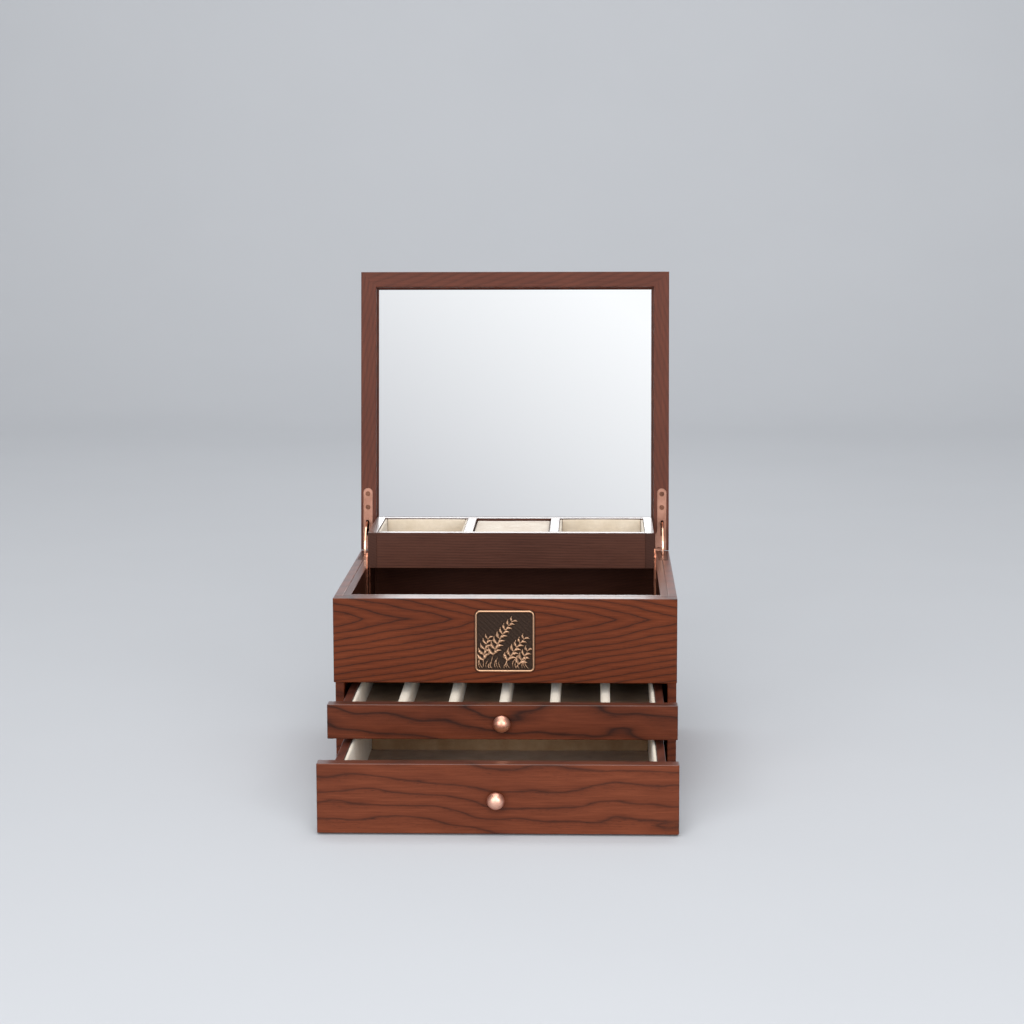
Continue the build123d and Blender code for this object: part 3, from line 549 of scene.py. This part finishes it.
# ---------------------------------------------------------------- plaque
def leaf_height(x, z, root, heading, length, width):
    """Height of one leaf: a lens shape whose sides fall away from a raised midrib, with
    faint side veins.  Along is 0 at the root and 1 at the tip."""
    out = (math.cos(heading), math.sin(heading))
    along = ((x - root[0]) * out[0] + (z - root[1]) * out[1]) / length
    held = np.clip(along, 0, 1)
    aside = -(x - root[0]) * out[1] + (z - root[1]) * out[0]
    aside = aside - 0.18 * length * np.sin(math.pi * held)
    half = width * np.sin(math.pi * held**0.8)
    across = np.abs(aside) / np.maximum(half, 1e-6)
    inside = (along > 0) & (along < 1) & (across < 1)
    body = 0.72 * np.sqrt(np.clip(1 - across**2, 0, 1)) + 0.28 * np.exp(-((aside / (0.28 * MM)) ** 2))
    veins = 0.10 * np.cos(26 * (along - 0.35 * across))
    return np.where(inside, body * (1 + veins), 0.0)


def stem_height(x, z, line, width):
    """Height of a round stem about a line of points, thinner towards its tip."""
    spread = np.full(x.shape, 1e9)
    taper = np.linspace(1.0, 0.45, len(line))
    for (px, pz), share in zip(line, taper):
        spread = np.minimum(spread, np.hypot(x - px, z - pz) / (width * share))
    return 0.75 * np.sqrt(np.clip(1 - spread**2, 0, 1))


def sprig_relief(x, z):
    """Leafy branches that rise from the lower edge and arch to the right, over low grasses."""
    relief = np.zeros_like(x)
    branches = (
        ((-12.0, -21.5), (-7.0, 4.0), (7.5, 17.5), 8),
        ((-1.0, -21.5), (6.0, -8.0), (16.5, 3.0), 6),
        ((-17.5, -21.0), (-18.0, -8.0), (-13.0, 3.0), 5),
        ((9.0, -21.5), (14.0, -16.0), (19.0, -7.0), 4),
    )
    share = np.linspace(0, 1, 90)[:, None]
    for start, bend, tip, pairs in branches:
        start, bend, tip = np.array(start), np.array(bend), np.array(tip)
        line = (1 - share) ** 2 * start + 2 * share * (1 - share) * bend + share**2 * tip
        relief = np.maximum(relief, stem_height(x, z, line * MM, 0.62 * MM))
        for place in range(pairs):
            spot = 0.22 + 0.74 * place / (pairs - 1)
            index = int(spot * 88)
            heading = math.atan2(*(line[index + 1] - line[index])[::-1])
            size = 8.8 * (1 - 0.42 * spot)
            for side in (-1, 1):
                turn = heading + side * math.radians(44)
                leaf = leaf_height(x, z, line[index] * MM, turn, size * MM, size * 0.24 * MM)
                relief = np.maximum(relief, leaf)
    for blade in range(17):
        foot = -20.0 + 2.45 * blade
        lean = 0.30 * math.sin(2.1 * blade)
        height = 7.5 + 3.0 * math.sin(1.3 * blade + 0.6)
        heading = math.pi / 2 + lean
        grass = leaf_height(x, z, (foot * MM, -22.6 * MM), heading, height * MM, 0.75 * MM)
        relief = np.maximum(relief, 0.85 * grass)
    return relief


def build_plaque():
    """Cast plate.  A square grid is drawn in to the rounded outline by carrying each point
    to m * rounded(point / m), m being its larger share of the half sizes; its height is
    the field, the half-round rim bead and the relief, over a plain edge and back."""
    low, high = node_box("plaque")
    centre = (low + high) / 2
    half = np.array([high[0] - low[0], high[2] - low[2]]) / 2
    face_y, corner, rim = high[1], 4.5 * MM, 2.3 * MM
    full, field = high[1] - low[1], 1.35 * MM
    count = 262
    share = np.linspace(-1, 1, count)
    flat = np.stack(np.meshgrid(share, share, indexing="ij"), axis=-1) * half
    reach = np.maximum(np.abs(flat / half).max(axis=-1, keepdims=True), 1e-9)
    edge = flat / reach
    inner = np.clip(edge, corner - half, half - corner)
    away = edge - inner
    outline = inner + away / np.maximum(np.linalg.norm(away, axis=-1, keepdims=True), 1e-12) * corner
    placed = outline * reach
    held = np.abs(placed) - (half - corner)
    rounded = np.linalg.norm(np.maximum(held, 0), axis=-1) + np.minimum(held.max(axis=-1), 0)
    inside = corner - rounded
    x, z = placed[..., 0], placed[..., 1]
    bead = np.sqrt(np.clip(1 - (2 * inside / rim - 1) ** 2, 0, 1))
    rim_height = field * 0.75 + (full - field * 0.75) * bead
    hammer = np.sin(x / (0.43 * MM)) * np.sin(z / (0.39 * MM) + np.sin(x / (1.1 * MM)))
    hammer += np.sin((x + z) / (0.7 * MM))
    ground = field + 0.045 * MM * hammer + 0.95 * MM * sprig_relief(x, z)
    height = np.where(inside < rim, rim_height, ground)
    height = np.clip(height, 0.6 * MM, full)
    front = np.stack([centre[0] + x, face_y - height, centre[2] + z], axis=-1).reshape(-1, 3)
    ring = np.concatenate([placed[:, 0], placed[-1, 1:], placed[-2::-1, -1], placed[0, -2:0:-1]])
    top = np.concatenate([height[:, 0], height[-1, 1:], height[-2::-1, -1], height[0, -2:0:-1]])
    wall = np.stack([
        np.stack([centre[0] + ring[:, 0], face_y - top, centre[2] + ring[:, 1]], axis=-1),
        np.stack([centre[0] + ring[:, 0], face_y - 0 * top, centre[2] + ring[:, 1]], axis=-1),
        np.stack([centre[0] + 0 * ring[:, 0], face_y - 0 * top, centre[2] + 0 * ring[:, 1]], axis=-1),
    ])
    grids = [(front, grid_quads(count, count)), (wall.reshape(-1, 3), grid_quads(3, len(ring), wrap=True))]
    bronze = antique_bronze("antique_bronze", face_y)
    build_piece("sprig_plaque", grids, "case", bronze, ["plaque"])


# ---------------------------------------------------------------- studio
CAMERA_SPOT = (0.0738, -2.1620, 0.5213)
CAMERA_YAW = math.radians(1.903)
CAMERA_PITCH = math.radians(8.040)
CAMERA_ROLL = math.radians(-0.186)
CAMERA_LENS = 89.565


def build_camera():
    data = bpy.data.cameras.new("camera")
    data.lens = CAMERA_LENS
    data.sensor_width = 36.0
    camera = bpy.data.objects.new("camera", data)
    bpy.context.scene.collection.objects.link(camera)
    turn = Matrix.Rotation(CAMERA_YAW, 4, "Z") @ Matrix.Rotation(math.pi / 2 - CAMERA_PITCH, 4, "X")
    camera.matrix_world = Matrix.Translation(CAMERA_SPOT) @ turn @ Matrix.Rotation(CAMERA_ROLL, 4, "Z")
    bpy.context.scene.camera = camera


def stage_sheet(name, points, material):
    """A plain sheet of the set, from a grid of points."""
    rows, columns = points.shape[:2]
    mesh = bpy.data.meshes.new(name)
    mesh.from_pydata(points.reshape(-1, 3).tolist(), [], grid_quads(rows, columns).tolist())
    mesh.shade_smooth()
    mesh.materials.append(material)
    sheet = bpy.data.objects.new(name, mesh)
    bpy.context.scene.collection.objects.link(sheet)
    return sheet


def build_sweep():
    """Paper sweep: a flat floor that turns up through a quarter circle into a wall."""
    paper = Finish("pale_paper", Roughness=0.9, Specular_IOR_Level=0.1)
    fibre = paper.noise(paper.place((3, 3, 3)), detail=2.0)
    paper.finish(paper.ramp(fibre, [(0.2, (0.535, 0.552, 0.580, 1)), (0.8, (0.55, 0.567, 0.595, 1))]))
    turn = np.linspace(0, math.pi / 2, 24)
    bend, floor_end = 1.6, 2.6
    along = np.concatenate([[-9.0, 0.0], floor_end + bend * np.sin(turn), [floor_end + bend]])
    up = np.concatenate([[0.0, 0.0], bend * (1 - np.cos(turn)), [7.0]])
    across = np.linspace(-7, 7, 3)
    points = np.zeros((len(across), len(along), 3))
    points[..., 0] = across[:, None]
    points[..., 1] = along
    points[..., 2] = up
    stage_sheet("paper_sweep", points, paper.material)


def build_front_card():
    """Glowing card behind the camera, brighter up and to the right: what the mirror sees."""
    card = Finish("front_card", Base_Color=(0, 0, 0, 1), Roughness=1.0)
    parts = card.add("SeparateXYZ", {"Vector": card.place((1, 1, 1))}).outputs
    climb = card.sums("MULTIPLY_ADD", parts[0], 0.55, card.sums("MULTIPLY", parts[2], 0.75))
    stops = [(0.0, (0.60, 0.61, 0.64, 1)), (1.0, (1.04, 1.05, 1.06, 1))]
    glow = card.ramp(card.spread(climb, 0.25, 1.02), stops)
    card.links.new(glow, card.shader.inputs["Emission Color"])
    card.shader.inputs["Emission Strength"].default_value = 1.0
    across, up = np.linspace(-1.7, 1.7, 2), np.linspace(0.1, 2.6, 2)
    points = np.zeros((2, 2, 3))
    points[..., 0] = across[:, None]
    points[..., 1] = -4.2
    points[..., 2] = up
    sheet = stage_sheet("front_card", points, card.material)
    sheet.visible_camera = False


def area_light(name, spot, target, size, power):
    """A square soft light that faces a target point."""
    data = bpy.data.lights.new(name, "AREA")
    data.size = size
    data.energy = power
    lamp = bpy.data.objects.new(name, data)
    bpy.context.scene.collection.objects.link(lamp)
    spot, target = np.array(spot), np.array(target)
    back = (spot - target) / np.linalg.norm(spot - target)
    side = np.cross((0, 1, 0.001), back)
    side /= np.linalg.norm(side)
    basis = np.eye(4)
    basis[:3, 0], basis[:3, 1], basis[:3, 2], basis[:3, 3] = side, np.cross(back, side), back, spot
    lamp.matrix_world = Matrix(basis.tolist())


def build_lights():
    world = bpy.data.worlds.new("studio")
    world.use_nodes = True
    ground = world.node_tree.nodes["Background"].inputs
    ground["Color"].default_value = (0.97, 0.98, 1.0, 1)
    ground["Strength"].default_value = 0.30
    bpy.context.scene.world = world
    area_light("overhead_box", (0.0, -0.5, 2.4), (0, 0, 0.2), 2.0, 26)
    area_light("high_front_box", (0.0, -2.3, 1.75), (0, 0, 0.15), 1.5, 30)
    area_light("front_left_box", (-1.3, -2.9, 0.7), (0, 0, 0.15), 1.2, 38)
    area_light("front_right_box", (1.3, -2.9, 0.7), (0, 0, 0.15), 1.2, 38)
    area_light("wall_wash", (0.0, 1.4, 3.6), (0, 4.2, 1.0), 2.6, 70)
    bpy.context.scene.view_settings.view_transform = "Standard"


paint_case()
paint_lid()
paint_tray()
paint_drawers()
paint_fittings()
build_tray_velvet()
build_drawer_velvet()
build_knobs()
build_plaque()
build_camera()
build_sweep()
build_front_card()
build_lights()
